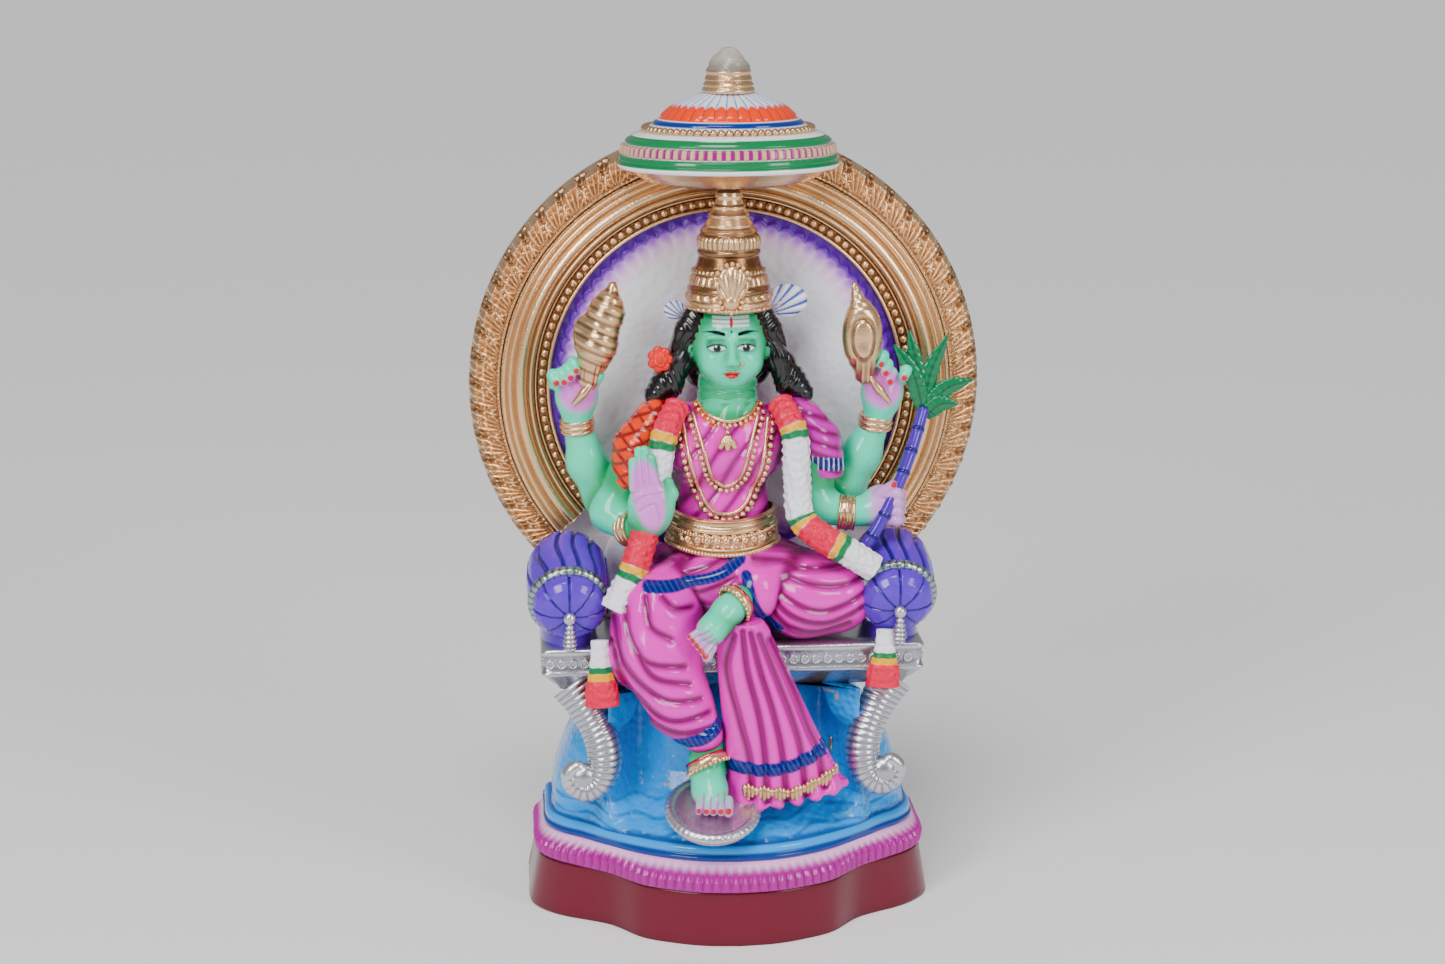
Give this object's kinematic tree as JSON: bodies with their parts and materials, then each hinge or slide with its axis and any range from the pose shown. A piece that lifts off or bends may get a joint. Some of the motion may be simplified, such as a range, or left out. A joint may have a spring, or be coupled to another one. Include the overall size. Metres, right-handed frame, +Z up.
{
  "type": "seated deity figurine under an arch",
  "caption": "Painted papier-mache figurine of a seated four-armed Hindu deity on a legged throne, with a round gold arch and parasol, on a lobed maroon and blue base.",
  "frame": {"origin": "centre of the underside of the base, level with the table it stands on", "axes": "+Z up, +X to a viewer's right, +Y to the back; the figure faces -Y"},
  "size_m": [0.238, 0.1155, 0.4],
  "materials": {
    "maroon_enamel": "satin",
    "magenta_enamel": "gloss",
    "blue_enamel": "gloss",
    "silver_paint": "metallic satin",
    "gold_paint": "metallic satin",
    "purple_enamel": "gloss",
    "white_enamel": "gloss",
    "parasol_enamel": "gloss",
    "bud_paint": "metallic satin",
    "mint_enamel": "gloss",
    "black_enamel": "gloss",
    "pink_enamel": "gloss",
    "orange_enamel": "gloss",
    "garland_paint": "satin",
    "tassel_paint": "satin",
    "ornament_paint": "gloss",
    "green_enamel": "gloss",
    "violet_enamel": "gloss",
    "board": "matte"
  },
  "bodies": {
    "root": {"base_shell": "maroon_enamel", "bottom_panel": "board", "petal_rim": "magenta_enamel", "plinth_step": "blue_enamel", "plinth_mound": "blue_enamel", "foot_pad": "silver_paint", "seat_slab": "silver_paint", "seat_leg_left": "silver_paint", "seat_leg_right": "silver_paint", "bolster_band_left": "silver_paint", "bolster_band_right": "silver_paint", "bolster_tassel_left": "silver_paint", "bolster_tassel_right": "silver_paint", "bolster_left": "purple_enamel", "bolster_right": "purple_enamel", "back_panel": "white_enamel", "arch_bead_ring": "gold_paint", "arch_moulding": "gold_paint", "arch_leaf_ring": "gold_paint", "parasol_soffit": "gold_paint", "finial_rings": "gold_paint", "crown": "gold_paint", "bangles_rear": "gold_paint", "bangles_front": "gold_paint", "attribute_left": "gold_paint", "attribute_right": "gold_paint", "necklace_choker": "gold_paint", "necklace_short": "gold_paint", "necklace_long": "gold_paint", "waist_belt": "gold_paint", "anklets": "gold_paint", "parasol_canopy": "parasol_enamel", "parasol_crown": "parasol_enamel", "finial_bud": "bud_paint", "head": "mint_enamel", "arm_rear_left": "mint_enamel", "arm_rear_right": "mint_enamel", "arm_front_left": "mint_enamel", "arm_front_right": "mint_enamel", "hand_rear_left": "mint_enamel", "hand_rear_right": "mint_enamel", "hand_front_left": "mint_enamel", "hand_front_right": "mint_enamel", "foot_raised": "mint_enamel", "foot_down": "mint_enamel", "hair": "black_enamel", "hair_ornaments": "ornament_paint", "torso": "pink_enamel", "sari_lap": "pink_enamel", "sari_leg_left": "pink_enamel", "sari_leg_right": "pink_enamel", "sari_pleats": "pink_enamel", "sleeve_right": "pink_enamel", "sleeve_left": "orange_enamel", "garland_left": "garland_paint", "garland_right": "garland_paint", "garland_tassels": "tassel_paint", "sugarcane_leaves": "green_enamel", "sugarcane_stalk": "violet_enamel"}
  },
  "joints": []
}
